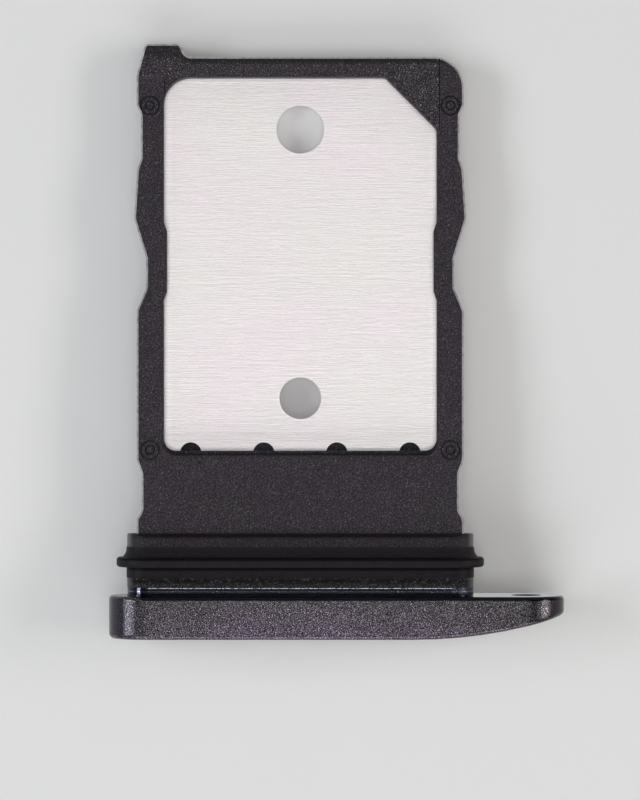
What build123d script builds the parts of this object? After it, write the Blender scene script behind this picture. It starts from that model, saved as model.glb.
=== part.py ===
from build123d import *
import os
from math import sqrt

# A phone's tray for one nano SIM card. A metal fascia closes the opening in the phone's side, a moulded
# frame carries the card, a steel plate moulded into the frame is the floor under the card, and a rubber
# seal goes round the neck.
#
# All sizes are millimetres. While the pieces are made, x runs across the tray from the frame's centre line
# towards the pin hole, y from the fascia's inner shoulder towards the end that goes in first, and z up from
# the mid-plane to the side that the card lies in.

# The card
card_width = 8.80
card_length = 12.30
card_thickness = 0.67
card_corner_cut = 1.65

# The pocket that the card lies in
card_side_gap = 0.14
card_end_gap = 0.05
card_depth_gap = 0.03
corner_cut_gap = 0.07
pocket_far_radius = 0.90
pocket_near_radius = 0.40
pocket_cut_radius = 0.27
pocket_ledge_width = 0.115
pocket_ledge_depth = 0.30
pocket_rim_break = 0.03

# The two pads that grip the card's sides
grip_gap = 0.037
grip_length = 2.00
grip_ramp = 0.30
grip_from_far_wall = 6.10

# The steel plate
plate_thickness = 0.20
plate_edge_bite = 0.25
plate_tail_bite = 0.90
far_hole_diameter = 1.60
far_hole_from_wall = 1.70
near_hole_diameter = 1.40
near_hole_from_wall = 1.75
lock_hole_count = 4
lock_hole_pitch = 2.434
lock_hole_diameter = 0.72
lock_hole_setback = 0.08
lock_plug_recess = 0.04

# The frame's floor and end
floor_lip_thickness = 0.15
floor_lip_width = 0.55
window_corner_radius = 0.35
end_wall = 0.66
far_end_radius = 1.03
frame_edge_break = 0.06

# The rails: how far each stretch runs along the tray, and how far it is set in from the rails' full width
rail_wall = 0.88
rail_corner_radius = 0.35
neck_land_length = 0.50
relief_ramp_in = 0.26
relief_length = 1.23
relief_ramp_out = 0.46
relief_inset = 0.165
catch_ramp_in = 0.76
catch_length = 0.99
catch_ramp_out = 1.29
catch_inset = 0.314
wing_tip_length = 0.10
wing_length = 1.56
wing_rise = 0.08
wing_inset = 0.02
waist_ramp_in = 0.33
waist_length = 1.49
waist_ramp_out = 0.27
waist_inset = 0.14
nose_length = 1.63

# The tab on the end bar that the phone's ejector lever pushes
tab_rise = 0.43
tab_tip_width = 1.147
tab_outer_height = 1.04
tab_outer_lean = 0.276
tab_inner_lean = 0.217
tab_tip_radius = 0.15
tab_root_radius = 0.27

# The ring marks that the mould's ejector pins leave
pin_mark_diameter = 0.66
pin_mark_inner_diameter = 0.34
pin_mark_width = 0.055
pin_mark_depth = 0.04
far_pin_mark_from_wall = 0.95
near_pin_mark_from_wall = 0.03

# The lines that the edges of a mould insert leave beside the pocket's far corners
insert_line_width = 0.04
insert_line_depth = 0.03
right_insert_line_gap = 0.07
left_insert_line_inset = 0.05
left_insert_line_end_gap = 0.05
left_insert_line_length = 0.60

# The neck, from the pedestal to the pocket
neck_side_step = 0.34
neck_face_step = 0.225
rear_flange_thickness = 0.32
seal_groove_width = 1.02
seal_groove_depth = 0.35
front_flange_thickness = 0.43
flange_edge_break = 0.03
flange_lead_in_length = 0.10
flange_lead_in_depth = 0.19
neck_length = 2.75

# The seal
seal_sleeve_proud = 0.02
seal_lip_proud = 0.353
seal_lip_thickness = 0.33
seal_lip_tip_radius = 0.10
seal_lip_position = 0.511
seal_flare_position = 0.98
seal_flare_rise = 0.16

# The fascia
fascia_left_margin = 0.60
fascia_right_margin = 3.01
fascia_face_margin = 0.55
fascia_thickness = 1.42
face_curve_length = 5.035
face_curve_radius = 16.0
face_edge_round = 0.17
shoulder_edge_round = 0.12
pedestal_height = 0.28
pin_hole_diameter = 1.00
pin_hole_from_end = 1.25
pin_hole_mouth = 0.05

# The tongue that ties the fascia to the neck
tongue_width = 8.00
tongue_thickness = 0.40
tongue_length = 1.20
tongue_lock_diameter = 0.70
tongue_lock_spacing = 4.40

# Places along the tray
groove_start = pedestal_height + rear_flange_thickness
groove_end = groove_start + seal_groove_width
neck_start = groove_end + front_flange_thickness
pocket_near = neck_start + neck_length
pocket_far = pocket_near + card_length + 2 * card_end_gap
frame_end = pocket_far + end_wall

# Half widths, and heights from the mid-plane
pocket_half = card_width / 2 + card_side_gap
rail_half = pocket_half + rail_wall
neck_half = rail_half + neck_side_step
pocket_depth = card_thickness + card_depth_gap
frame_thickness = pocket_depth + plate_thickness + floor_lip_thickness
frame_top = frame_thickness / 2
plate_top = frame_top - pocket_depth
plate_bottom = plate_top - plate_thickness
pocket_corner_cut = card_corner_cut + corner_cut_gap
lock_hole_y = pocket_near - lock_hole_setback
neck_width = 2 * neck_half
neck_height = frame_thickness + 2 * neck_face_step
core_width = neck_width - 2 * seal_groove_depth
core_height = neck_height - 2 * seal_groove_depth
fascia_left = -neck_half - fascia_left_margin
fascia_right = neck_half + fascia_right_margin
fascia_length = fascia_right - fascia_left
fascia_middle = (fascia_left + fascia_right) / 2
fascia_height = neck_height + 2 * fascia_face_margin


def upright(face, low, high):
    """A solid with the given outline, between two heights."""
    return extrude(Pos(0, 0, low) * face, high - low)


def along_tray(section, middle, start, end):
    """A solid with the given section across the tray, between two places along it."""
    across = Plane(origin=(middle, start, 0), x_dir=(1, 0, 0), z_dir=(0, 1, 0))
    return extrude(across * section, end - start)


def side_on(x):
    """The plane of a section along the tray, with its own x along the tray and its y upwards."""
    return Plane(origin=(x, 0, 0), x_dir=(0, 1, 0), z_dir=(1, 0, 0))


def pill(width, height, start, end, middle=0):
    """A stretch with flat top and bottom and fully round ends."""
    return along_tray(SlotOverall(width, height), middle, start, end)


def round_post(x, y, diameter, low, high):
    """An upright round solid."""
    return upright(Pos(x, y) * Circle(diameter / 2), low, high)


def card_outline(margin, near, far_radius, near_radius, cut_radius):
    """The card's outline with its cut corner, grown by a margin from the pocket's walls."""
    half = pocket_half + margin
    far = pocket_far + margin
    cut = pocket_corner_cut + (2 - sqrt(2)) * margin
    corners = [(-half, near), (half, near), (half, far - cut), (half - cut, far), (-half, far)]
    radii = [near_radius, near_radius, cut_radius, cut_radius, far_radius]
    return make_face(FilletPolyline(*corners, radius=radii, close=True))


def pocket_outline(near):
    """The pocket, narrowed at the middle by the two grip pads."""
    outline = card_outline(0, near, pocket_far_radius, pocket_near_radius, pocket_cut_radius)
    middle = pocket_far - grip_from_far_wall
    foot = grip_length / 2 + grip_ramp
    head = grip_length / 2
    face = card_width / 2 + grip_gap
    pad = make_face(Polyline(
        (pocket_half, middle - foot),
        (face, middle - head),
        (face, middle + head),
        (pocket_half, middle + foot),
        close=True,
    ))
    return outline - pad - mirror(pad, Plane.YZ)


def lock_hole_places():
    """Where the plate's lock holes are, across the tray."""
    first = -(lock_hole_count - 1) / 2 * lock_hole_pitch
    return [first + i * lock_hole_pitch for i in range(lock_hole_count)]


def through_holes(low, high):
    """The two holes on the centre line that go right through the plate."""
    far_hole = round_post(0, pocket_far - far_hole_from_wall, far_hole_diameter, low, high)
    near_hole = round_post(0, pocket_near + near_hole_from_wall, near_hole_diameter, low, high)
    return far_hole + near_hole


def make_card_plate():
    """The steel plate, larger than the pocket by the bite that the frame takes on its edge."""
    outline = card_outline(
        plate_edge_bite,
        pocket_near - plate_tail_bite,
        pocket_far_radius,
        pocket_near_radius,
        pocket_cut_radius,
    )
    plate = upright(outline, plate_bottom, plate_top)
    plate -= through_holes(plate_bottom, plate_top)
    for x in lock_hole_places():
        plate -= round_post(x, lock_hole_y, lock_hole_diameter, plate_bottom, plate_top)
    return plate


def rail_steps():
    """The right rail's edge from the neck to the end bar, as half widths and places along the tray."""
    edge = [(rail_half, groove_end)]
    y = neck_start + neck_land_length
    edge.append((rail_half, y))
    y += relief_ramp_in
    edge.append((rail_half - relief_inset, y))
    y += relief_length
    edge.append((rail_half - relief_inset, y))
    y += relief_ramp_out
    edge.append((rail_half, y))
    far_half = [(rail_half, frame_end - nose_length)]
    y = frame_end - nose_length - waist_ramp_out
    far_half.append((rail_half - waist_inset, y))
    y -= waist_length
    far_half.append((rail_half - waist_inset, y))
    y -= waist_ramp_in
    far_half.append((rail_half - wing_inset, y))
    y -= wing_length
    far_half.append((rail_half + wing_rise, y))
    y -= wing_tip_length
    far_half.append((rail_half + wing_rise, y))
    y -= catch_ramp_out
    far_half.append((rail_half - catch_inset, y))
    y -= catch_length
    far_half.append((rail_half - catch_inset, y))
    y -= catch_ramp_in
    far_half.append((rail_half, y))
    return edge + far_half[::-1]


def frame_outline():
    """The frame from above: both rails, the rounded corner, and the tab on the corner across from it."""
    right = rail_steps()
    left = [(-x, y) for x, y in reversed(right)]
    step_radii = [rail_corner_radius] * (len(right) - 1)
    tab_tip = frame_end + tab_rise
    tab_outer = -rail_half + tab_outer_lean
    tab_inner = tab_outer + tab_tip_width
    far_corner = [(rail_half, frame_end)]
    tab = [
        (tab_inner + tab_inner_lean, frame_end),
        (tab_inner, tab_tip),
        (tab_outer, tab_tip),
        (-rail_half, tab_tip - tab_outer_height),
    ]
    tab_radii = [tab_root_radius, tab_tip_radius, tab_tip_radius, rail_corner_radius]
    radii = [0] + step_radii + [far_end_radius] + tab_radii + step_radii + [0]
    return make_face(FilletPolyline(*right, *far_corner, *tab, *left, radius=radii, close=True))


def pin_marks():
    """The shallow pairs of rings that the mould's ejector pins leave on the rails."""
    across = (pocket_half + rail_half) / 2
    rings = []
    for diameter in (pin_mark_diameter, pin_mark_inner_diameter):
        rings.append(Circle(diameter / 2) - Circle(diameter / 2 - pin_mark_width))
    marks = []
    for y in (pocket_near + near_pin_mark_from_wall, pocket_far - far_pin_mark_from_wall):
        for x in (-across, across):
            for ring in rings:
                marks.append(upright(Pos(x, y) * ring, frame_top - pin_mark_depth, frame_top))
    return marks


def insert_lines():
    """The shallow lines along the edges of the mould's insert, one at each far corner of the pocket."""
    right = pocket_half + right_insert_line_gap
    right_length = frame_end - pocket_far + pocket_corner_cut
    left = -pocket_half + left_insert_line_inset
    left_far = pocket_far - left_insert_line_end_gap
    lines = []
    for x, far, length in ((right, frame_end, right_length), (left, left_far, left_insert_line_length)):
        line = Pos(x, far - length / 2) * Rectangle(insert_line_width, length)
        lines.append(upright(line, frame_top - insert_line_depth, frame_top))
    return lines


def flange_lead_in():
    """The wedge that is cut from the front flange's edge, over its flat top."""
    top = neck_height / 2
    wedge = make_face(Polyline(
        (neck_start - flange_lead_in_length, top),
        (neck_start, top),
        (neck_start, top - flange_lead_in_depth),
        close=True,
    ))
    return extrude(side_on(-neck_half) * wedge, neck_width)


def make_carrier_frame(plate, tongue):
    """The moulded frame, with the plate and the fascia's tongue let into it."""
    body = upright(frame_outline(), -frame_top, frame_top)
    body = chamfer(body.faces().filter_by(Axis.Z).edges(), frame_edge_break)
    front_flange = pill(neck_width, neck_height, groove_end, neck_start)
    front_flange = chamfer(front_flange.faces().sort_by(Axis.Y)[-1].edges(), flange_edge_break)
    lead_in = flange_lead_in()
    front_flange = front_flange - lead_in - mirror(lead_in, Plane.XY)
    core = pill(core_width, core_height, groove_start, groove_end)
    rear_flange = pill(neck_width, neck_height, pedestal_height, groove_start)
    frame = body + front_flange + core + rear_flange

    pocket = upright(pocket_outline(pocket_near), plate_top, frame_top)
    mouth_outline = pocket_outline(pocket_near - pocket_ledge_width)
    ledge = upright(mouth_outline, frame_top - pocket_ledge_depth, frame_top)
    rim = extrude(Pos(0, 0, frame_top - pocket_rim_break) * mouth_outline, pocket_rim_break, taper=-45)
    window_outline = card_outline(
        -floor_lip_width,
        pocket_near + floor_lip_width,
        window_corner_radius,
        window_corner_radius,
        pocket_cut_radius,
    )
    window = upright(window_outline, -frame_top, plate_bottom)
    frame = frame - pocket - ledge - rim - window - through_holes(-frame_top, frame_top)
    plug_top = plate_top - lock_plug_recess
    plug_room = upright(pocket_outline(pocket_near), plug_top, plate_top)
    for x in lock_hole_places():
        frame -= plug_room & round_post(x, lock_hole_y, lock_hole_diameter, plug_top, plate_top)
    for mark in pin_marks() + insert_lines():
        frame -= mark
    return frame - plate - tongue


def seal_section(x):
    """The seal's section over the neck's top, with its inner edge on the neck's core."""
    inner = core_height / 2
    sleeve = neck_height / 2 + seal_sleeve_proud
    flare_top = neck_height / 2 + seal_flare_rise
    tip = neck_height / 2 + seal_lip_proud
    lip_rear = groove_start + seal_lip_position - seal_lip_thickness / 2
    lip_front = lip_rear + seal_lip_thickness
    flare_start = (groove_start + seal_flare_position, sleeve)
    sleeve_edge = Polyline(
        flare_start,
        (groove_end, sleeve),
        (groove_end, inner),
        (groove_start, inner),
        (groove_start, sleeve),
        (lip_rear, sleeve),
    )
    lip_edge = FilletPolyline(
        (lip_rear, sleeve),
        (lip_rear, tip),
        (lip_front, tip),
        (lip_front, flare_top),
        radius=seal_lip_tip_radius,
    )
    flare_edge = TangentArc(flare_start, (lip_front, flare_top), tangent=(-1, 0))
    return side_on(x) * make_face(sleeve_edge + lip_edge + flare_edge)


def make_seal_ring():
    """The seal: its section run straight along the neck's top and bottom, and turned round both ends."""
    end_middle = (core_width - core_height) / 2
    straight = extrude(seal_section(-end_middle), 2 * end_middle)
    end_axis = Axis((end_middle, 0, 0), (0, 1, 0))
    turned = revolve(seal_section(end_middle), end_axis, 180)
    half = straight + turned
    return half + Rot(0, 180, 0) * half


def make_tongue():
    """The fascia's tongue, with the holes that the neck's plastic fills."""
    end = pedestal_height + tongue_length
    middle = pedestal_height + tongue_length / 2
    low, high = -tongue_thickness / 2, tongue_thickness / 2
    tongue = along_tray(Rectangle(tongue_width, tongue_thickness), 0, pedestal_height, end)
    for x in (-tongue_lock_spacing / 2, tongue_lock_spacing / 2):
        tongue -= round_post(x, middle, tongue_lock_diameter, low, high)
    return tongue


def face_outline():
    """The fascia from above: a flat front that curves back towards the pin-hole end."""
    curve_start = fascia_right - face_curve_length
    curve_drop = face_curve_radius - sqrt(face_curve_radius**2 - face_curve_length**2)
    curve = RadiusArc(
        (curve_start, -fascia_thickness),
        (fascia_right, curve_drop - fascia_thickness),
        -face_curve_radius,
    )
    rest = Polyline(
        curve @ 1,
        (fascia_right, 0),
        (fascia_left, 0),
        (fascia_left, -fascia_thickness),
        curve @ 0,
    )
    return make_face(curve + rest)


def make_fascia(tongue):
    """The metal end piece: a pill with a curved front, the pin hole, the pedestal and the tongue."""
    block = upright(face_outline(), -fascia_height / 2, fascia_height / 2)
    body = block & pill(fascia_length, fascia_height, -fascia_thickness, 0, fascia_middle)
    edges = body.edges()
    straight_edges = edges.filter_by(Axis.Y) + edges.filter_by(Axis.Z)
    body = fillet(edges - edges.group_by(Axis.Y)[-1] - straight_edges, face_edge_round)
    body = fillet(body.edges().group_by(Axis.Y)[-1], shoulder_edge_round)

    pin_hole_x = fascia_right - pin_hole_from_end
    pin_hole = along_tray(Circle(pin_hole_diameter / 2), pin_hole_x, -fascia_thickness, 0)
    drilled = body - pin_hole
    mouth = new_edges(body, pin_hole, combined=drilled).sort_by(Axis.Y)[0]
    drilled = chamfer(mouth, pin_hole_mouth)

    pedestal = pill(neck_width, neck_height, 0, pedestal_height)
    return drilled + pedestal + tongue


card_plate = make_card_plate()
tongue = make_tongue()
pieces = {
    "fascia": make_fascia(tongue),
    "carrier_frame": make_carrier_frame(card_plate, tongue),
    "card_plate": card_plate,
    "seal_ring": make_seal_ring(),
}

# The origin goes under the middle of the whole tray, at the height of its lowest face
box = Compound(list(pieces.values())).bounding_box()
to_origin = Pos(-box.center().X, -box.center().Y, -box.min.Z)

os.makedirs("parts", exist_ok=True)
for name, piece in pieces.items():
    placed = to_origin * piece
    export_step(placed, f"parts/{name}.step")
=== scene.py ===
"""Looks of a phone's card tray: its finishes, its stage and its camera, laid out as an add-on."""
import math

import bpy
from bpy.props import FloatProperty, FloatVectorProperty, PointerProperty
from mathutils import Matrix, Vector


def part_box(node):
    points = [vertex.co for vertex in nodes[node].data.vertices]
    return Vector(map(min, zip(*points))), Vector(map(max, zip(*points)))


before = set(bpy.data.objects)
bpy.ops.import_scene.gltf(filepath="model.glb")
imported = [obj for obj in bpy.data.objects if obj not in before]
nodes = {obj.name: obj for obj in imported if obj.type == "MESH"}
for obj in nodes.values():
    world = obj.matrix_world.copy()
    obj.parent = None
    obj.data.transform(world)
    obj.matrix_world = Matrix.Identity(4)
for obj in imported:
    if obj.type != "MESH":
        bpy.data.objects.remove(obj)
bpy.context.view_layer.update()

bl_info = {
    "name": "Card Tray Looks",
    "version": (1, 0, 0),
    "blender": (4, 5, 0),
    "location": "View3D > Sidebar > Card Tray",
    "description": "Finishes a phone's card tray and sets up its stage",
    "category": "Object",
}

MM = 0.001

fascia_low, fascia_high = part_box("fascia")
frame_low, frame_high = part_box("carrier_frame")
plate_low, plate_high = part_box("card_plate")
seal_low, seal_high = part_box("seal_ring")

# Steps of the pieces, as they are built
PEDESTAL_HEIGHT = 0.28 * MM
FRONT_FLANGE_THICKNESS = 0.43 * MM
PLATE_EDGE_BITE = 0.25 * MM
PLATE_TAIL_BITE = 0.90 * MM
SEAL_LIP_PROUD = 0.353 * MM
SEAL_LIP_START = 0.346 * MM
SEAL_LIP_THICKNESS = 0.33 * MM
NECK_END_ROUND = 0.75 * MM
NECK_FACE_STEP = 0.225 * MM
TAB_RISE = 0.455 * MM
TAB_INNER_EDGE = 0.4 * MM
TAB_INNER_SLOPE = 0.5 * MM

# Places along, across and up the tray, measured from the pieces' boxes
centre_line = (frame_low.x + frame_high.x) / 2
mid_height = (frame_low.z + frame_high.z) / 2
pedestal_end = frame_low.y
shoulder = pedestal_end - PEDESTAL_HEIGHT
flange_end = seal_high.y + FRONT_FLANGE_THICKNESS
pocket_far = plate_high.y - PLATE_EDGE_BITE
pocket_near = plate_low.y + PLATE_TAIL_BITE
pocket_half = (plate_high.x - plate_low.x) / 2 - PLATE_EDGE_BITE
bar_end = frame_high.y - TAB_RISE
neck_half = seal_high.x - centre_line - SEAL_LIP_PROUD
neck_flat_half = neck_half - NECK_END_ROUND
frame_top = frame_high.z - NECK_FACE_STEP
frame_bottom = frame_low.z + NECK_FACE_STEP


# Small helpers for node trees


def add_node(tree, kind, inputs=None, **options):
    """Adds a node, sets its options, and fills or links its inputs."""
    made = tree.nodes.new(kind)
    for name, value in options.items():
        setattr(made, name, value)
    for name, value in (inputs or {}).items():
        if isinstance(value, bpy.types.NodeSocket):
            tree.links.new(value, made.inputs[name])
        else:
            made.inputs[name].default_value = value
    return made


def math_node(tree, operation, *values, clamp=False):
    """The result of one operation on sockets or plain numbers."""
    inputs = dict(enumerate(values))
    return add_node(tree, "ShaderNodeMath", inputs, operation=operation, use_clamp=clamp).outputs[0]


def remap(tree, value, low, high, to_low=0.0, to_high=1.0):
    """A value moved from one range to another, and kept inside it."""
    inputs = {"Value": value, "From Min": low, "From Max": high, "To Min": to_low, "To Max": to_high}
    return add_node(tree, "ShaderNodeMapRange", inputs, clamp=True).outputs["Result"]


def mix_colour(tree, share, first, second):
    """Two colours mixed by a share of 0 to 1."""
    inputs = {0: share, 6: first, 7: second}
    return add_node(tree, "ShaderNodeMix", inputs, data_type="RGBA", blend_type="MIX").outputs[2]


def scaled(tree, value, factor):
    """A value times another."""
    return math_node(tree, "MULTIPLY", value, factor)


def larger(tree, first, second):
    """The larger of two values."""
    return math_node(tree, "MAXIMUM", first, second)


def inverse(tree, mask):
    """1 where a mask is 0, and the other way round."""
    return math_node(tree, "SUBTRACT", 1.0, mask, clamp=True)


def value_mix(tree, share, first, second):
    """Two values mixed by a share of 0 to 1."""
    pull = math_node(tree, "SUBTRACT", second, first)
    return math_node(tree, "MULTIPLY_ADD", pull, share, first)


def shaded(tree, value, mask, level):
    """A value, brought to a level of itself where a mask is 1."""
    return scaled(tree, value, remap(tree, mask, 0.0, 1.0, 1.0, level))


def scale_colour(tree, colour, factor):
    """A colour made lighter or darker by a factor."""
    made = add_node(tree, "ShaderNodeVectorMath", {"Scale": factor}, operation="SCALE")
    if isinstance(colour, bpy.types.NodeSocket):
        tree.links.new(colour, made.inputs[0])
    else:
        made.inputs[0].default_value = colour[:3]
    return made.outputs[0]


def opaque(colour):
    """A colour with its alpha."""
    return (*colour, 1.0)


def band(tree, value, low, high, soft):
    """A mask that is 1 between two values, with soft edges outside them."""
    rising = remap(tree, value, low - soft, low)
    falling = remap(tree, value, high, high + soft, 1.0, 0.0)
    return scaled(tree, rising, falling)


def noise(tree, where, scale, detail=2.0):
    """Grey noise at a scale per metre."""
    inputs = {"Vector": where, "Scale": scale, "Detail": detail, "Roughness": 0.5}
    return add_node(tree, "ShaderNodeTexNoise", inputs).outputs["Fac"]


def object_place(tree):
    """The place on the piece, in the frame's own metres."""
    return add_node(tree, "ShaderNodeTexCoord").outputs["Object"]


def axes(tree, vector):
    """The X, Y and Z of a vector."""
    return add_node(tree, "ShaderNodeSeparateXYZ", {"Vector": vector}).outputs


def from_centre(tree, where):
    """How far right of the frame's centre line a place is."""
    return math_node(tree, "SUBTRACT", where["X"], centre_line)


def either_side(tree, where):
    """How far from the frame's centre line a place is, to either side."""
    return math_node(tree, "ABSOLUTE", from_centre(tree, where))


def group_socket(group, name, direction, default=None):
    """Declares one number that a node group takes in or puts out."""
    socket = group.interface.new_socket(name=name, in_out=direction, socket_type="NodeSocketFloat")
    if default is not None:
        socket.default_value = default


# Effects that several finishes share


def grain_group():
    """Fine grain of a blasted or moulded surface: a brightness with light specks, and a height."""
    speck_spacing = 0.5
    rare, rarest = 0.80, 0.97
    speck_core, speck_edge = 0.12, 0.40
    group = bpy.data.node_groups.new("surface_grain", "ShaderNodeTree")
    group_socket(group, "Grains per metre", "INPUT", default=24000.0)
    group_socket(group, "Contrast", "INPUT", default=1.0)
    group_socket(group, "Specks", "INPUT", default=1.0)
    group_socket(group, "Lift", "OUTPUT")
    group_socket(group, "Height", "OUTPUT")
    source = add_node(group, "NodeGroupInput").outputs
    scale = source["Grains per metre"]
    turn = {"Vector": object_place(group), "Rotation": (0.6, 0.4, 0.9)}
    where = add_node(group, "ShaderNodeMapping", turn).outputs["Vector"]
    fine = noise(group, where, scale, detail=0.0)
    swing = scaled(group, math_node(group, "SUBTRACT", fine, 0.5), source["Contrast"])
    cell_inputs = {"Vector": where, "Scale": scaled(group, scale, speck_spacing)}
    cells = add_node(group, "ShaderNodeTexVoronoi", cell_inputs, feature="F1").outputs
    chance = add_node(group, "ShaderNodeSeparateColor", {"Color": cells["Color"]}).outputs["Red"]
    bright = remap(group, chance, rare, rarest)
    dot = remap(group, cells["Distance"], speck_core, speck_edge, 1.0, 0.0)
    specks = scaled(group, scaled(group, bright, dot), source["Specks"])
    lift = math_node(group, "ADD", math_node(group, "EXPONENT", swing), specks)
    add_node(group, "NodeGroupOutput", {"Lift": lift, "Height": fine})
    return group


def blotch_group():
    """Soft blotches, for a tint that wanders over a surface."""
    group = bpy.data.node_groups.new("soft_blotches", "ShaderNodeTree")
    group_socket(group, "Blotches per metre", "INPUT", default=800.0)
    group_socket(group, "Mask", "OUTPUT")
    source = add_node(group, "NodeGroupInput").outputs
    wander = noise(group, object_place(group), source["Blotches per metre"])
    add_node(group, "NodeGroupOutput", {"Mask": remap(group, wander, 0.35, 0.65)})
    return group


def edge_shading_group():
    """Painted edge light and shade: a mask of the faces that lean between level and upright, broken up a
    little unevenly.
    """
    steepest, flattest, lean_soft = 0.60, 0.80, 0.08
    weakest_edge = 0.55
    group = bpy.data.node_groups.new("painted_edge_shading", "ShaderNodeTree")
    group_socket(group, "Wear per metre", "INPUT", default=5000.0)
    group_socket(group, "Mask", "OUTPUT")
    source = add_node(group, "NodeGroupInput").outputs
    place = add_node(group, "ShaderNodeTexCoord").outputs
    level = math_node(group, "ABSOLUTE", axes(group, place["Normal"])["Z"])
    leaning = band(group, level, steepest, flattest, lean_soft)
    wear = noise(group, place["Object"], source["Wear per metre"])
    uneven = remap(group, wear, 0.30, 0.60, weakest_edge, 1.0)
    add_node(group, "NodeGroupOutput", {"Mask": scaled(group, leaning, uneven)})
    return group


def place_effect(tree, name, builder, **inputs):
    """Puts a shared effect into a material with that material's own values, and gives its outputs."""
    group = bpy.data.node_groups.get(name) or builder()
    made = add_node(tree, "ShaderNodeGroup", node_tree=group)
    for socket, value in inputs.items():
        made.inputs[socket.replace("_", " ")].default_value = value
    return made.outputs


def place_grain(tree, grains, contrast, specks):
    """The shared grain, at a finish's own fineness and strength."""
    inputs = {"Grains_per_metre": grains, "Contrast": contrast, "Specks": specks}
    return place_effect(tree, "surface_grain", grain_group, **inputs)


def place_blotches(tree, blotches):
    """The shared blotches, so many to the metre."""
    return place_effect(tree, "soft_blotches", blotch_group, Blotches_per_metre=blotches)["Mask"]


# Finishes


def new_finish(name):
    """An empty material with its surface shader, and the tree that it stands in."""
    material = bpy.data.materials.new(name)
    material.use_nodes = True
    tree = material.node_tree
    return material, tree, tree.nodes["Principled BSDF"]


def link(tree, shader, **sockets):
    """Links sockets to the shader's inputs by name."""
    for name, socket in sockets.items():
        tree.links.new(socket, shader.inputs[name.replace("_", " ")])


def bump(tree, height, strength, distance):
    """A surface normal that follows a height."""
    inputs = {"Height": height, "Strength": strength, "Distance": distance}
    return add_node(tree, "ShaderNodeBump", inputs).outputs["Normal"]


def dress(name, material):
    """Gives a CAD node its finish."""
    mesh = nodes[name].data
    mesh.materials.clear()
    mesh.materials.append(material)


def colour_setting(name, description, default):
    """A colour that a user may change."""
    return FloatVectorProperty(name=name, description=description, subtype="COLOR", size=3, default=default)


def number_setting(name, description, default):
    """A plain number that a user may change."""
    return FloatProperty(name=name, description=description, default=default)


def length_setting(name, description, default):
    """A length that a user may change."""
    return FloatProperty(name=name, description=description, unit="LENGTH", default=default)


class FasciaFinish(bpy.types.PropertyGroup):
    """Bead-blasted, dark anodised metal, left smooth on the pedestal."""

    tone: colour_setting("Tone", "Anodised colour", (0.0372, 0.0346, 0.0372))
    tint: colour_setting("Tint", "Purple tint near the front", (0.0532, 0.0438, 0.0575))
    # Colour of the painted highlight on the left end, where the cool light from the left falls
    end_highlight_tone: colour_setting("End tone", "Colour of the left end", (0.0490, 0.0450, 0.0575))
    smooth_tone: colour_setting("Smooth tone", "Colour of the pedestal", (0.029, 0.032, 0.043))
    # Colour of the painted glint along the pedestal's far edge
    glint_tone: colour_setting("Bare tone", "Metal cut after anodising", (0.60, 0.625, 0.65))
    grains: number_setting("Grains per metre", "Fineness of the blasting", 40000.0)
    contrast: number_setting("Contrast", "Contrast of the blasting", 8.0)
    specks: number_setting("Specks", "Strength of the light specks", 2.6)
    grain_depth: length_setting("Grain depth", "Height of the blasting", 0.7e-5)
    blotches: number_setting("Blotches per metre", "Fineness of the wandering tint", 700.0)
    roughness: number_setting("Roughness", "Roughness of the blasted metal", 0.28)
    # Roughness of the painted glint along the pedestal's far edge
    glint_roughness: number_setting("Bare roughness", "Roughness of the bare metal", 0.36)


class PlasticFinish(bpy.types.PropertyGroup):
    """Dark plastic with the texture of its mould."""

    tone: colour_setting("Tone", "Plastic colour", (0.0255, 0.0210, 0.0263))
    tint: colour_setting("Tint", "Colour of the purple blotches", (0.0290, 0.0200, 0.0304))
    speck_tone: colour_setting("Speck tone", "Colour of the brightest grains", (0.0245, 0.0235, 0.0250))
    # Colour of the painted bluish shade deep in the card pocket
    deep_tone: colour_setting("Deep tone", "Colour deep in the card pocket", (0.0265, 0.0290, 0.0400))
    # Colour of the painted highlight on the flanges' round ends
    end_highlight_tone: colour_setting("End tone", "Colour of the rubbed flange ends", (0.150, 0.148, 0.155))
    # Colour of the painted highlight along the frame's outer edges
    edge_highlight_tone: colour_setting("Edge tone", "Colour of the broken edges", (0.500, 0.498, 0.505))
    grains: number_setting("Grains per metre", "Fineness of the mould's texture", 24000.0)
    contrast: number_setting("Contrast", "Contrast of the texture", 3.8)
    specks: number_setting("Specks", "Strength of the light specks", 3.4)
    coarse_fineness: number_setting("Coarse fineness", "Coarser texture's grains for each plain one", 1.3)
    coarse_contrast: number_setting("Coarse contrast", "Contrast of the coarser texture", 7.6)
    coarse_specks: number_setting("Coarse specks", "Strength of the coarser texture's specks", 13.0)
    grain_depth: length_setting("Grain depth", "Height of the texture", 1.4e-5)
    blotches: number_setting("Blotches per metre", "Fineness of the wandering tint", 500.0)
    # Fineness of the breaks along the painted edge highlight and shade
    wear: number_setting("Wear per metre", "Fineness of the wear along edges", 5000.0)
    roughness: number_setting("Roughness", "Roughness of the plastic", 0.56)
    # Roughness of the outer edges that take the painted highlight
    edge_roughness: number_setting("Edge roughness", "Roughness of the worn edges", 0.34)
    gloss: number_setting("Gloss", "Specular level of the plastic", 0.20)


class SteelFinish(bpy.types.PropertyGroup):
    """Bright steel sheet, brushed across the tray."""

    tone: colour_setting("Tone", "Steel colour", (0.780, 0.712, 0.733))
    tint: colour_setting("Tint", "Colour of the cooler blotches", (0.755, 0.732, 0.721))
    lines: number_setting("Lines per metre", "Fineness of the brushing", 33000.0)
    line_length: length_setting("Line length", "Length of a brush line", 0.8 * MM)
    line_depth: length_setting("Line depth", "Depth of a brush line", 1.2e-6)
    blotches: number_setting("Blotches per metre", "Fineness of the wandering tint", 350.0)
    anisotropy: number_setting("Anisotropy", "How far the brushing draws out reflections", 0.9)


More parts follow.
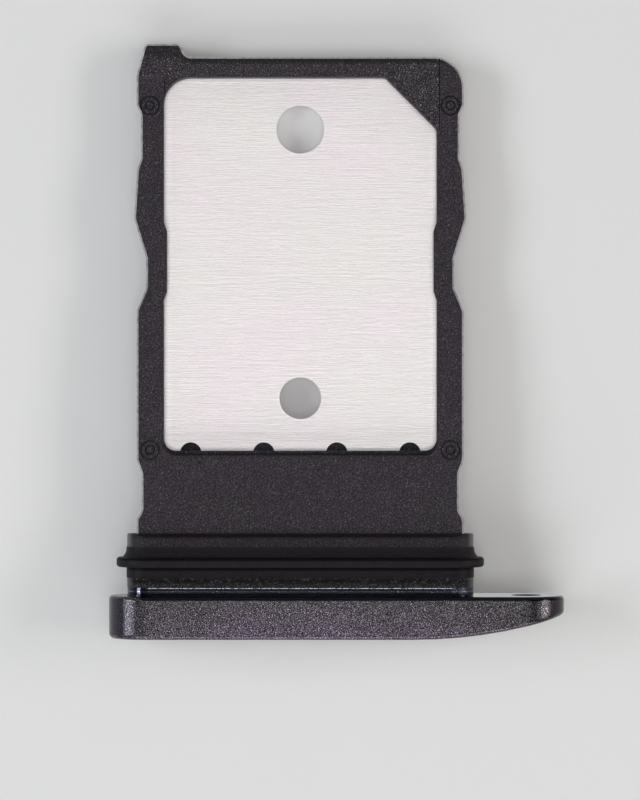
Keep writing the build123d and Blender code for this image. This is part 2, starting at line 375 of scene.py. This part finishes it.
class RubberFinish(bpy.types.PropertyGroup):
    """Satin black rubber."""

    tone: colour_setting("Tone", "Rubber colour", (0.0150, 0.0130, 0.0152))
    grains: number_setting("Grains per metre", "Fineness of the bloom", 20000.0)
    contrast: number_setting("Contrast", "Contrast of the bloom", 0.8)
    specks: number_setting("Specks", "Strength of the light specks", 0.2)
    grain_depth: length_setting("Grain depth", "Height of the bloom", 2e-6)
    roughness: number_setting("Roughness", "Roughness of the rubber", 0.5)
    gloss: number_setting("Gloss", "Specular level of the rubber", 0.07)


class StageSettings(bpy.types.PropertyGroup):
    """Floor, lamps and camera."""

    floor_tone: colour_setting("Floor", "Floor colour", (0.76, 0.76, 0.755))
    floor_size: length_setting("Floor size", "Side of the floor", 1.2)
    reflected_floor: number_setting("Reflected floor", "Level of the floor that metal sees", 0.66)
    backdrop_level: number_setting("Backdrop", "Level of the far floor and the backdrop", 0.80)
    cool_tone: colour_setting("Cool side", "Surroundings on the left", (0.25, 0.25, 0.305))
    warm_tone: colour_setting("Warm side", "Surroundings on the right", (0.175, 0.165, 0.16))
    sky_level: number_setting("Sky", "Level of the light from overhead", 0.15)
    top_level: number_setting("Top level", "Radiance of the overhead softboxes", 2.95)
    front_level: number_setting("Front level", "Radiance of the low lamp in front", 1.8)
    left_level: number_setting("Left level", "Radiance of the left strip", 8.2)
    right_level: number_setting("Right level", "Radiance of the right strip", 9.4)
    lamp_distance: length_setting("Lamp distance", "Tray to lamps", 0.25)
    camera_height: length_setting("Camera height", "Camera above the frame's top", 0.120)
    camera_x: length_setting("Camera across", "Where the camera looks, across the tray", -0.549 * MM)
    camera_y: length_setting("Camera along", "Where the camera looks, along the tray", -1.945 * MM)
    lens: number_setting("Lens", "Focal length in millimetres", 163.0)


class TrayLooks(bpy.types.PropertyGroup):
    """All settings of the tray's looks."""

    fascia: PointerProperty(name="Fascia", description="Finish of the metal end piece", type=FasciaFinish)
    plastic: PointerProperty(name="Plastic", description="Finish of the frame", type=PlasticFinish)
    steel: PointerProperty(name="Steel", description="Finish of the plate", type=SteelFinish)
    rubber: PointerProperty(name="Rubber", description="Finish of the seal", type=RubberFinish)
    stage: PointerProperty(name="Stage", description="Floor, lamps and camera", type=StageSettings)


class TRAY_OT_finish_fascia(bpy.types.Operator):
    """Blasted and anodised finish of the metal end piece"""

    bl_idname = "tray.finish_fascia"
    bl_label = "Finish the fascia"

    def execute(self, context):
        looks = context.scene.tray_looks.fascia
        end_smoothing = 0.85
        smooth_height = 0.03
        material, tree, shader = new_finish("anodised_metal")
        grain = place_grain(tree, looks.grains, looks.contrast, looks.specks)
        where = axes(tree, object_place(tree))
        smooth = self.smooth_mask(tree, where)
        ends = self.end_mask(tree)
        glint = self.painted_glint_line(tree, where)
        lift = value_mix(tree, scaled(tree, ends, end_smoothing), grain["Lift"], 1.0)
        blasted = scale_colour(tree, self.anodised_colour(tree, looks, where, ends), lift)
        shade = self.pedestal_shade(tree, where, grain["Lift"])
        pedestal = scale_colour(tree, opaque(looks.smooth_tone), shade)
        coloured = mix_colour(tree, smooth, blasted, pedestal)
        # Paints the glint along the pedestal's far edge over the finish
        colour = mix_colour(tree, glint, coloured, opaque(looks.glint_tone))
        rough = value_mix(tree, smooth, looks.roughness, self.pedestal_roughness(tree, where))
        rough = larger(tree, rough, scaled(tree, glint, looks.glint_roughness))
        height = shaded(tree, grain["Height"], larger(tree, smooth, ends), smooth_height)
        normal = bump(tree, height, 0.8, looks.grain_depth)
        link(tree, shader, Base_Color=colour, Roughness=rough, Normal=normal)
        shader.inputs["Metallic"].default_value = 1.0
        dress("fascia", material)
        return {"FINISHED"}

    def smooth_mask(self, tree, where):
        """The smooth pedestal, and a strip of the shoulder beside it except at the left end; the strip takes
        the pedestal's painted shade.
        """
        left_end = -neck_half + 0.3 * MM
        left_blend = 0.3 * MM
        strip = 0.14 * MM
        left_margin = 0.02 * MM
        soft = 0.03 * MM
        aside = from_centre(tree, where)
        inner = remap(tree, aside, left_end, left_end + left_blend, left_margin, -strip)
        past_edge = math_node(tree, "SUBTRACT", where["Y"], inner)
        return remap(tree, past_edge, shoulder, shoulder + soft)

    def end_mask(self, tree):
        """The two round ends, smoothed by handling; the left one also takes a painted highlight."""
        start, full = 0.50, 0.72
        facing = axes(tree, add_node(tree, "ShaderNodeTexCoord").outputs["Normal"])
        sideways = math_node(tree, "ABSOLUTE", facing["X"])
        frontways = math_node(tree, "ABSOLUTE", facing["Y"])
        return remap(tree, math_node(tree, "SUBTRACT", sideways, frontways), start, full)

    def anodised_colour(self, tree, looks, where, ends):
        """The anodised colour: purple in the middle of the front, and a painted highlight on the left end,
        lighter and cooler, as if lit from the left.
        """
        front_round = 0.25 * MM
        left_plain = 4.0 * MM
        right_plain = 4.5 * MM
        fade = 2.5 * MM
        side_share = 0.3
        wander = 0.2
        frontward = remap(tree, where["Y"], shoulder, fascia_low.y + front_round)
        span = band(tree, where["X"], fascia_low.x + left_plain, fascia_high.x - right_plain, fade)
        frontward = scaled(tree, frontward, remap(tree, span, 0.0, 1.0, side_share, 1.0))
        drift = remap(tree, place_blotches(tree, looks.blotches), 0.0, 1.0, -wander, wander)
        share = math_node(tree, "ADD", frontward, drift, clamp=True)
        tinted = mix_colour(tree, share, opaque(looks.tone), opaque(looks.tint))
        # Painted highlight: the left round end lighter and bluer, as if lit from the left
        left = remap(tree, where["X"], fascia_low.x + 1.0 * MM, fascia_low.x + 2.0 * MM, 1.0, 0.0)
        return mix_colour(tree, scaled(tree, ends, left), tinted, opaque(looks.end_highlight_tone))

    def pedestal_shade(self, tree, where, lift):
        """The pedestal's shade: painted shade at its root and on the strip of shoulder before it, with one
        light line half way up and a little grain.
        """
        root_low = shoulder + 0.06 * MM
        root_high = shoulder + 0.12 * MM
        root_level = 0.3
        line_low = shoulder + 0.135 * MM
        line_high = shoulder + 0.165 * MM
        line_soft = 0.012 * MM
        line_level = 3.0
        grain_share = 0.5
        root_shade = remap(tree, where["Y"], root_low, root_high, root_level, 1.0)
        line = band(tree, where["Y"], line_low, line_high, line_soft)
        return scaled(tree, shaded(tree, root_shade, line, line_level), value_mix(tree, grain_share, 1.0, lift))

    def pedestal_roughness(self, tree, where):
        """The pedestal's roughness: polished, and dull round its right end."""
        polished, dull = 0.10, 0.45
        right_end = remap(tree, from_centre(tree, where), neck_flat_half, neck_flat_half + 0.1 * MM)
        past_shoulder = remap(tree, where["Y"], shoulder, shoulder + 0.03 * MM)
        return remap(tree, scaled(tree, right_end, past_shoulder), 0.0, 1.0, polished, dull)

    def painted_glint_line(self, tree, where):
        """A painted glint: a thin light line along the pedestal's far edge, on its two flat sides."""
        line_low = pedestal_end - 0.030 * MM
        line_high = pedestal_end - 0.016 * MM
        line_soft = 0.003 * MM
        end_fade = 0.15 * MM
        breaks_per_metre = 20000.0
        faintest = 0.35
        along = band(tree, where["Y"], line_low, line_high, line_soft)
        flat = band(tree, from_centre(tree, where), -neck_flat_half, neck_flat_half, end_fade)
        broken = remap(tree, noise(tree, object_place(tree), breaks_per_metre), 0.38, 0.55, faintest, 1.0)
        return scaled(tree, scaled(tree, along, flat), broken)


class TRAY_OT_finish_frame(bpy.types.Operator):
    """Mould-textured finish of the plastic frame"""

    bl_idname = "tray.finish_frame"
    bl_label = "Finish the frame"

    def execute(self, context):
        looks = context.scene.tray_looks.plastic
        insert_depth, rear_depth = 2.2, 5.0
        material, tree, shader = new_finish("moulded_plastic")
        grain = place_grain(tree, looks.grains, looks.contrast, looks.specks)
        coarse_grains = looks.coarse_fineness * looks.grains
        coarse_grain = place_grain(tree, coarse_grains, looks.coarse_contrast, looks.coarse_specks)
        edges = place_effect(tree, "painted_edge_shading", edge_shading_group, Wear_per_metre=looks.wear)["Mask"]
        where = axes(tree, object_place(tree))
        carrier = remap(tree, where["Y"], flange_end, flange_end + 0.02 * MM)
        rear = remap(tree, where["Y"], seal_low.y - 0.03 * MM, seal_low.y, 1.0, 0.0)
        insert = self.insert_mask(tree, where)
        outer = self.outer_mask(tree, where)
        deep = self.pocket_depth(tree, where, outer)
        near_rim, near_line, near_fade = self.near_edge(tree, where)
        # Painted highlight along the outer edges, and painted shade along the inner ones
        glinting = scaled(tree, scaled(tree, edges, carrier), outer)
        rim = scaled(tree, edges, math_node(tree, "SUBTRACT", carrier, outer, clamp=True))
        shades = (
            # Painted shade: both flanges darker than the carrier, and the rear one darker still beside the
            # fascia
            (inverse(tree, carrier), 0.62),
            (rear, 0.92),
            (self.cove_shade(tree, where), 0.38),
            (self.groove_shade(tree, where, carrier), 0.35),
            # Painted shade along the inner edges, weaker at the pocket's near rim
            (shaded(tree, rim, near_rim, 0.4), 0.45),
            (self.rear_marks(tree, where), 0.03),
            # Painted shade deep in the card pocket
            (deep, 0.5),
            # Painted shadow line and painted shade fading beside the pocket's near rim
            (near_line, 0.15),
            (near_fade, 0.70),
            (insert, 0.86),
            (self.bar_edge_shade(tree, where), 0.30),
            (self.rear_edge_highlight(tree, where), 1.7),
            (self.tab_mask(tree, where), 0.4),
        )
        coarse = larger(tree, rear, insert)
        lift = value_mix(tree, coarse, grain["Lift"], coarse_grain["Lift"])
        coarse_depth = remap(tree, rear, 0.0, 1.0, insert_depth, rear_depth)
        coarse_height = scaled(tree, coarse_grain["Height"], coarse_depth)
        height = value_mix(tree, coarse, grain["Height"], coarse_height)
        blotch = place_blotches(tree, looks.blotches)
        tinted = mix_colour(tree, blotch, opaque(looks.tone), opaque(looks.tint))
        # Painted bluish shade deep in the pocket and at its near rim
        tinted = mix_colour(tree, larger(tree, deep, near_rim), tinted, opaque(looks.deep_tone))
        speckled = scale_colour(tree, self.speckle(tree, looks, tinted, lift), self.shade(tree, shades))
        # Painted highlight on the flanges' round ends
        speckled = mix_colour(tree, self.flange_end_highlight(tree, where, carrier), speckled, opaque(looks.end_highlight_tone))
        colour = mix_colour(tree, glinting, speckled, opaque(looks.edge_highlight_tone))
        rough = value_mix(tree, glinting, looks.roughness, looks.edge_roughness)
        normal = bump(tree, height, 0.7, looks.grain_depth)
        link(tree, shader, Base_Color=colour, Roughness=rough, Normal=normal)
        shader.inputs["Specular IOR Level"].default_value = looks.gloss
        dress("carrier_frame", material)
        return {"FINISHED"}

    def shade(self, tree, shades):
        """All shades together, each a mask and the level that it brings the colour to."""
        total = 1.0
        for mask, level in shades:
            total = shaded(tree, total, mask, level)
        return total

    def speckle(self, tree, looks, colour, grain):
        """A colour with its grain, whose brightest specks lose the tint."""
        bright = remap(tree, grain, 1.2, 2.8)
        return scale_colour(tree, mix_colour(tree, bright, colour, opaque(looks.speck_tone)), grain)

    def outer_mask(self, tree, where):
        """The frame's outer edges: the end bar's in full, and the rails' fainter."""
        rail_share = 0.72
        start, full = 0.25 * MM, 0.35 * MM
        rails = remap(tree, either_side(tree, where), pocket_half + start, pocket_half + full)
        bar = remap(tree, where["Y"], pocket_far + start, pocket_far + full)
        return larger(tree, scaled(tree, rails, rail_share), bar)

    def cove_shade(self, tree, where):
        """Painted shade in the corner where the neck meets the front flange."""
        return band(tree, where["Y"], flange_end - 0.13 * MM, flange_end + 0.02 * MM, 0.05 * MM)

    def groove_shade(self, tree, where, carrier):
        """Painted shade: a dark line just under the frame's upper edges, which also darkens the bottoms of
        its shallow grooves.
        """
        line_low = frame_top - 0.045 * MM
        line_high = frame_top - 0.022 * MM
        return scaled(tree, carrier, band(tree, where["Z"], line_low, line_high, 0.006 * MM))

    def rear_marks(self, tree, where):
        """Broken dark marks along the rear flange."""
        marks_low = shoulder + 0.47 * MM
        marks_high = shoulder + 0.54 * MM
        marks_per_metre = 7000.0
        along = band(tree, where["Y"], marks_low, marks_high, 0.10 * MM)
        return scaled(tree, along, remap(tree, noise(tree, object_place(tree), marks_per_metre), 0.38, 0.50))

    def rear_edge_highlight(self, tree, where):
        """Painted highlight: the light edge of the rear flange, beside the seal."""
        return band(tree, where["Y"], seal_low.y - 0.035 * MM, seal_low.y - 0.005 * MM, 0.01 * MM)

    def flange_end_highlight(self, tree, where, carrier):
        """The round ends of the two flanges, where a painted highlight makes them lighter as they turn down.
        """
        turned = remap(tree, either_side(tree, where), neck_half - 0.22 * MM, neck_half)
        return scaled(tree, turned, inverse(tree, carrier))

    def pocket_depth(self, tree, where, outer):
        """How deep in the card pocket a place lies, for its painted shade: 0 at its rim, 1 at the plate."""
        above = remap(tree, where["Z"], plate_low.z, plate_high.z)
        depth = remap(tree, where["Z"], plate_high.z, plate_high.z + 0.4 * MM, 1.0, 0.0)
        along = remap(tree, where["Y"], pocket_near - 0.10 * MM, pocket_near - 0.05 * MM)
        inside = scaled(tree, along, inverse(tree, outer))
        return scaled(tree, scaled(tree, above, depth), inside)

    def near_edge(self, tree, where):
        """The pocket's near rim, painted in the bluish tone of the pocket's shade, the painted dark line
        where it turns down, and the painted shade that fades onto the neck beside that.
        """
        corner = 0.5 * MM
        line_soft, fade_soft = 0.010 * MM, 0.12 * MM
        within = band(tree, from_centre(tree, where), -pocket_half + corner, pocket_half - corner, 0.3 * MM)
        rim = band(tree, where["Y"], pocket_near - 0.095 * MM, pocket_near + 0.03 * MM, line_soft)
        line = band(tree, where["Y"], pocket_near - 0.125 * MM, pocket_near - 0.105 * MM, line_soft)
        fade = band(tree, where["Y"], pocket_near - 0.17 * MM, pocket_near - 0.12 * MM, fade_soft)
        return [scaled(tree, mask, within) for mask in (rim, line, fade)]

    def right_of_tab(self, tree, where, at_tab=0.0, beyond=1.0):
        """One value at the tab and another along the rest of the end bar."""
        start = -pocket_half + TAB_INNER_EDGE
        return remap(tree, from_centre(tree, where), start, start + TAB_INNER_SLOPE, at_tab, beyond)

    def tab_mask(self, tree, where):
        """The tab, towards its tip."""
        return remap(tree, where["Y"], frame_high.y - 0.6 * MM, frame_high.y - 0.3 * MM)

    def bar_edge_shade(self, tree, where):
        """Painted shade: the dark line where the end bar's far edge turns down."""
        along = band(tree, where["Y"], bar_end - 0.14 * MM, bar_end - 0.02 * MM, 0.10 * MM)
        return scaled(tree, along, self.right_of_tab(tree, where))

    def insert_mask(self, tree, where):
        """The tab and the cut corner, left coarser by an insert of the mould, and faintly the bar."""
        right_line = pocket_half + 0.07 * MM
        bar_share = 0.6
        aside = from_centre(tree, where)
        before_line = remap(tree, aside, right_line, right_line + 0.03 * MM, 1.0, 0.0)
        near_corner = remap(tree, aside, pocket_half - 1.9 * MM, pocket_half - 1.6 * MM)
        bar = remap(tree, where["Y"], pocket_far - 0.15 * MM, pocket_far + 0.05 * MM)
        bar = scaled(tree, bar, self.right_of_tab(tree, where, 1.0, bar_share))
        corner = remap(tree, where["Y"], pocket_far - 1.72 * MM, pocket_far - 1.60 * MM)
        return scaled(tree, larger(tree, bar, scaled(tree, corner, near_corner)), before_line)


class TRAY_OT_finish_plate(bpy.types.Operator):
    """Brushed finish of the steel plate"""

    bl_idname = "tray.finish_plate"
    bl_label = "Finish the plate"

    def execute(self, context):
        looks = context.scene.tray_looks.steel
        dullest, brightest = 0.76, 1.17
        roughest, smoothest = 0.40, 0.34
        wall_reach = 0.30 * MM
        painted_wall_light = 1.12
        material, tree, shader = new_finish("brushed_steel_sheet")
        lines = self.brushing(tree, looks)
        blotch = place_blotches(tree, looks.blotches)
        tinted = mix_colour(tree, blotch, opaque(looks.tone), opaque(looks.tint))
        lift = remap(tree, lines, 0.3, 0.7, dullest, brightest)
        # Painted light: the sheet lighter beside the pocket's walls, where they shade it
        lift = scaled(tree, lift, remap(tree, self.wall_gap(tree), 0.0, wall_reach, painted_wall_light, 1.0))
        rough = remap(tree, lines, 0.3, 0.7, roughest, smoothest)
        along_tray = add_node(tree, "ShaderNodeCombineXYZ", {"Y": 1.0}).outputs["Vector"]
        link(tree, shader, Base_Color=scale_colour(tree, tinted, lift), Roughness=rough, Tangent=along_tray)
        link(tree, shader, Normal=bump(tree, lines, 0.6, looks.line_depth))
        shader.inputs["Metallic"].default_value = 1.0
        shader.inputs["Anisotropic"].default_value = looks.anisotropy
        dress("card_plate", material)
        return {"FINISHED"}

    def wall_gap(self, tree):
        """The distance from the pocket's nearest straight wall, beside which painted light makes the sheet
        brighter.
        """
        where = axes(tree, object_place(tree))
        side = math_node(tree, "SUBTRACT", pocket_half, either_side(tree, where))
        far = math_node(tree, "SUBTRACT", pocket_far, where["Y"])
        near = math_node(tree, "SUBTRACT", where["Y"], pocket_near)
        return math_node(tree, "MINIMUM", side, math_node(tree, "MINIMUM", far, near))

    def brushing(self, tree, looks):
        """Long and short brush lines mixed, with fine pits between them."""
        short_share, pit_share = 0.55, 0.32
        short_fineness, short_length = 1.2, 0.3
        long_lines = self.brush_lines(tree, looks.lines, looks.line_length)
        short_lines = self.brush_lines(tree, short_fineness * looks.lines, short_length * looks.line_length)
        lines = value_mix(tree, short_share, long_lines, short_lines)
        pits = remap(tree, noise(tree, object_place(tree), looks.lines, detail=0.0), 0.2, 0.8, 0.3, 0.7)
        return value_mix(tree, pit_share, lines, pits)

    def brush_lines(self, tree, count, length):
        """Brush lines across the tray, each set against the next so that no broad bands show."""
        set_against = 0.6
        contrast = 0.40
        where = axes(tree, object_place(tree))
        line = math_node(tree, "FLOOR", scaled(tree, where["Y"], count))
        own = self.line_level(tree, where, line, length)
        beside = self.line_level(tree, where, math_node(tree, "ADD", line, 1.0), length)
        swing = math_node(tree, "SUBTRACT", own, value_mix(tree, set_against, 0.5, beside))
        return math_node(tree, "MULTIPLY_ADD", swing, contrast, 0.5)

    def line_level(self, tree, where, line, length):
        """The level along one brush line: dashes whose length and start are the line's own."""
        shortest, longest = 0.3 * length, 2.5 * length
        spread = 500.0
        start = add_node(tree, "ShaderNodeTexWhiteNoise", {"W": line}, noise_dimensions="1D").outputs["Value"]
        dashes = math_node(tree, "DIVIDE", where["X"], remap(tree, start, 0.0, 1.0, shortest, longest))
        along = math_node(tree, "MULTIPLY_ADD", start, spread, dashes)
        dash = add_node(tree, "ShaderNodeCombineXYZ", {"X": math_node(tree, "FLOOR", along), "Y": line})
        inputs = {"Vector": dash.outputs["Vector"]}
        return add_node(tree, "ShaderNodeTexWhiteNoise", inputs, noise_dimensions="2D").outputs["Value"]


class TRAY_OT_finish_seal(bpy.types.Operator):
    """Satin finish of the rubber seal"""

    bl_idname = "tray.finish_seal"
    bl_label = "Finish the seal"

    def execute(self, context):
        looks = context.scene.tray_looks.rubber
        foot_shade_level = 0.15
        material, tree, shader = new_finish("satin_rubber")
        grain = place_grain(tree, looks.grains, looks.contrast, looks.specks)
        shade = shaded(tree, grain["Lift"], self.lip_foot_shade(tree), foot_shade_level)
        colour = scale_colour(tree, opaque(looks.tone), shade)
        link(tree, shader, Base_Color=colour, Normal=bump(tree, grain["Height"], 0.2, looks.grain_depth))
        shader.inputs["Roughness"].default_value = looks.roughness
        shader.inputs["Specular IOR Level"].default_value = looks.gloss
        dress("seal_ring", material)
        return {"FINISHED"}

    def lip_foot_shade(self, tree):
        """Painted shade in the corners on both sides of the lip's foot."""
        along = axes(tree, object_place(tree))["Y"]
        lip_rear = seal_low.y + SEAL_LIP_START
        lip_front = lip_rear + SEAL_LIP_THICKNESS
        soft = 0.03 * MM
        front_foot = band(tree, along, lip_front - 0.085 * MM, lip_front - 0.015 * MM, soft)
        rear_foot = band(tree, along, lip_rear - 0.09 * MM, lip_rear - 0.02 * MM, soft)
        return larger(tree, front_foot, rear_foot)


# Stage


def pale_share(tree, camera_share, reflection_share):
    """How much of a surface's own glow a ray sees: one share straight on, another in reflections."""
    path = add_node(tree, "ShaderNodeLightPath").outputs
    straight = scaled(tree, path["Is Camera Ray"], camera_share)
    seen_in = larger(tree, path["Is Glossy Ray"], path["Is Transmission Ray"])
    return larger(tree, straight, scaled(tree, seen_in, reflection_share))


def plain_floor_material(settings):
    """Matt pale floor: it keeps the tray's shadow, and metal sees it as pale."""
    near_tray, far_off = 0.03, 0.20
    near_glow, far_glow = 0.10, 0.95
    reflected_glow = 0.90
    patches_per_metre = 90.0
    material, tree, shader = new_finish("pale_floor")
    where = object_place(tree)
    lift = remap(tree, noise(tree, where, patches_per_metre, detail=3.0), 0.3, 0.7, 0.985, 1.0)
    link(tree, shader, Base_Color=scale_colour(tree, opaque(settings.floor_tone), lift))
    shader.inputs["Roughness"].default_value = 0.9
    shader.inputs["Specular IOR Level"].default_value = 0.1
    seen = add_node(tree, "ShaderNodeLightPath").outputs["Is Camera Ray"]
    level = remap(tree, seen, 0.0, 1.0, settings.reflected_floor, settings.backdrop_level)
    glow = add_node(tree, "ShaderNodeEmission", {"Color": (1.0, 1.0, 1.0, 1.0), "Strength": level})
    away = add_node(tree, "ShaderNodeVectorMath", {0: where}, operation="LENGTH").outputs["Value"]
    far_share = remap(tree, away, near_tray, far_off, near_glow, far_glow)
    mixed = add_node(tree, "ShaderNodeMixShader", {0: pale_share(tree, far_share, reflected_glow)})
    tree.links.new(shader.outputs[0], mixed.inputs[1])
    tree.links.new(glow.outputs[0], mixed.inputs[2])
    tree.links.new(mixed.outputs[0], tree.nodes["Material Output"].inputs["Surface"])
    return material


def make_floor(settings):
    """The floor: tipped a little, so that the tray rests on its fascia and on the far end of its frame."""
    inner_edge = shoulder - 0.07 * MM
    slope = math.atan2(frame_bottom, frame_high.y - inner_edge)
    bpy.ops.mesh.primitive_plane_add(size=settings.floor_size)
    floor = bpy.context.object
    floor.name = "floor"
    floor.location = (0.0, inner_edge, 0.0)
    floor.rotation_euler = (slope, 0.0, 0.0)
    floor.data.materials.append(plain_floor_material(settings))


def make_softbox(name, bearing, tilt, span, distance, radiance, tone=(1.0, 1.0, 1.0)):
    """A rectangular lamp that faces the tray: its bearing and tilt from overhead, and its span in degrees."""
    height, width = (2 * distance * math.tan(math.radians(angle) / 2) for angle in span)
    light = bpy.data.lights.new(name, "AREA")
    light.shape = "RECTANGLE"
    light.size = height
    light.size_y = width
    light.energy = radiance * math.pi * height * width
    light.color = tone
    turn = math.radians(bearing)
    lean = math.radians(tilt)
    away = Vector((math.sin(lean) * math.cos(turn), math.sin(lean) * math.sin(turn), math.cos(lean)))
    lamp = bpy.data.objects.new(name, light)
    lamp.location = Vector((centre_line, 0.0, mid_height)) + distance * away
    lamp.rotation_euler = (-away).to_track_quat("-Z", "X").to_euler()
    bpy.context.scene.collection.objects.link(lamp)


def make_lamps(settings):
    """Two softboxes overhead with a gap for the camera, a low lamp in front, and a strip at each side."""
    cool, warm = (0.93, 0.96, 1.0), (1.0, 0.97, 0.94)
    far, near, left, right = 90, -90, 180, 0
    reach = settings.lamp_distance
    make_softbox("top_far", far, 7, (8, 30), reach, settings.top_level)
    make_softbox("top_near", near, 13.5, (13, 30), reach, settings.top_level)
    make_softbox("front_low", near, 64, (38, 70), reach, settings.front_level)
    make_softbox("side_left", left, 57, (17, 34), reach, settings.left_level, cool)
    make_softbox("side_right", right, 62.5, (13, 34), reach, settings.right_level, warm)


def grey(level):
    """A plain grey of a level."""
    return (level, level, level, 1.0)


def make_sky(settings):
    """Faint light from overhead that grows pale towards the horizon, cooler left and warmer right."""
    world = bpy.data.worlds.new("studio")
    world.use_nodes = True
    tree = world.node_tree
    way = axes(tree, add_node(tree, "ShaderNodeTexCoord").outputs["Generated"])
    low = remap(tree, way["Z"], 0.05, 0.40, 1.0, 0.0)
    side = remap(tree, way["X"], -0.6, 0.6)
    horizon = mix_colour(tree, side, opaque(settings.cool_tone), opaque(settings.warm_tone))
    light = mix_colour(tree, low, grey(settings.sky_level), horizon)
    behind = remap(tree, math_node(tree, "ABSOLUTE", way["Y"]), 0.45, 0.80)
    backdrop = pale_share(tree, 1.0, behind)
    sky = tree.nodes["Background"]
    tree.links.new(mix_colour(tree, backdrop, light, grey(settings.backdrop_level)), sky.inputs["Color"])
    sky.inputs["Strength"].default_value = 1.0
    bpy.context.scene.world = world


def make_camera(settings):
    """A camera straight above the tray."""
    data = bpy.data.cameras.new("camera")
    data.lens = settings.lens
    data.clip_start = 0.001
    data.clip_end = 10.0
    camera = bpy.data.objects.new("camera", data)
    camera.location = (settings.camera_x, settings.camera_y, frame_top + settings.camera_height)
    bpy.context.scene.collection.objects.link(camera)
    bpy.context.scene.camera = camera


class TRAY_OT_stage(bpy.types.Operator):
    """Floor, lamps, sky and camera"""

    bl_idname = "tray.stage"
    bl_label = "Set the stage"

    def execute(self, context):
        settings = context.scene.tray_looks.stage
        context.scene.view_settings.view_transform = "Standard"
        make_floor(settings)
        make_lamps(settings)
        make_sky(settings)
        make_camera(settings)
        return {"FINISHED"}


class TRAY_PT_looks(bpy.types.Panel):
    """Sidebar panel with the steps in order"""

    bl_idname = "TRAY_PT_looks"
    bl_label = "Card Tray"
    bl_space_type = "VIEW_3D"
    bl_region_type = "UI"
    bl_category = "Card Tray"

    def draw(self, context):
        for operator in OPERATORS:
            self.layout.operator(operator.bl_idname)


PROPERTY_GROUPS = (FasciaFinish, PlasticFinish, SteelFinish, RubberFinish, StageSettings, TrayLooks)
OPERATORS = (
    TRAY_OT_finish_fascia,
    TRAY_OT_finish_frame,
    TRAY_OT_finish_plate,
    TRAY_OT_finish_seal,
    TRAY_OT_stage,
)
CLASSES = (*PROPERTY_GROUPS, *OPERATORS, TRAY_PT_looks)


def register():
    """Registers the classes and hangs the settings on the scene."""
    for cls in CLASSES:
        bpy.utils.register_class(cls)
    bpy.types.Scene.tray_looks = PointerProperty(type=TrayLooks)


def unregister():
    """Takes the settings and the classes away again."""
    del bpy.types.Scene.tray_looks
    for cls in reversed(CLASSES):
        bpy.utils.unregister_class(cls)


def main():
    """Runs the steps in order."""
    register()
    bpy.ops.tray.finish_fascia()
    bpy.ops.tray.finish_frame()
    bpy.ops.tray.finish_plate()
    bpy.ops.tray.finish_seal()
    bpy.ops.tray.stage()


if __name__ == "__main__":
    main()
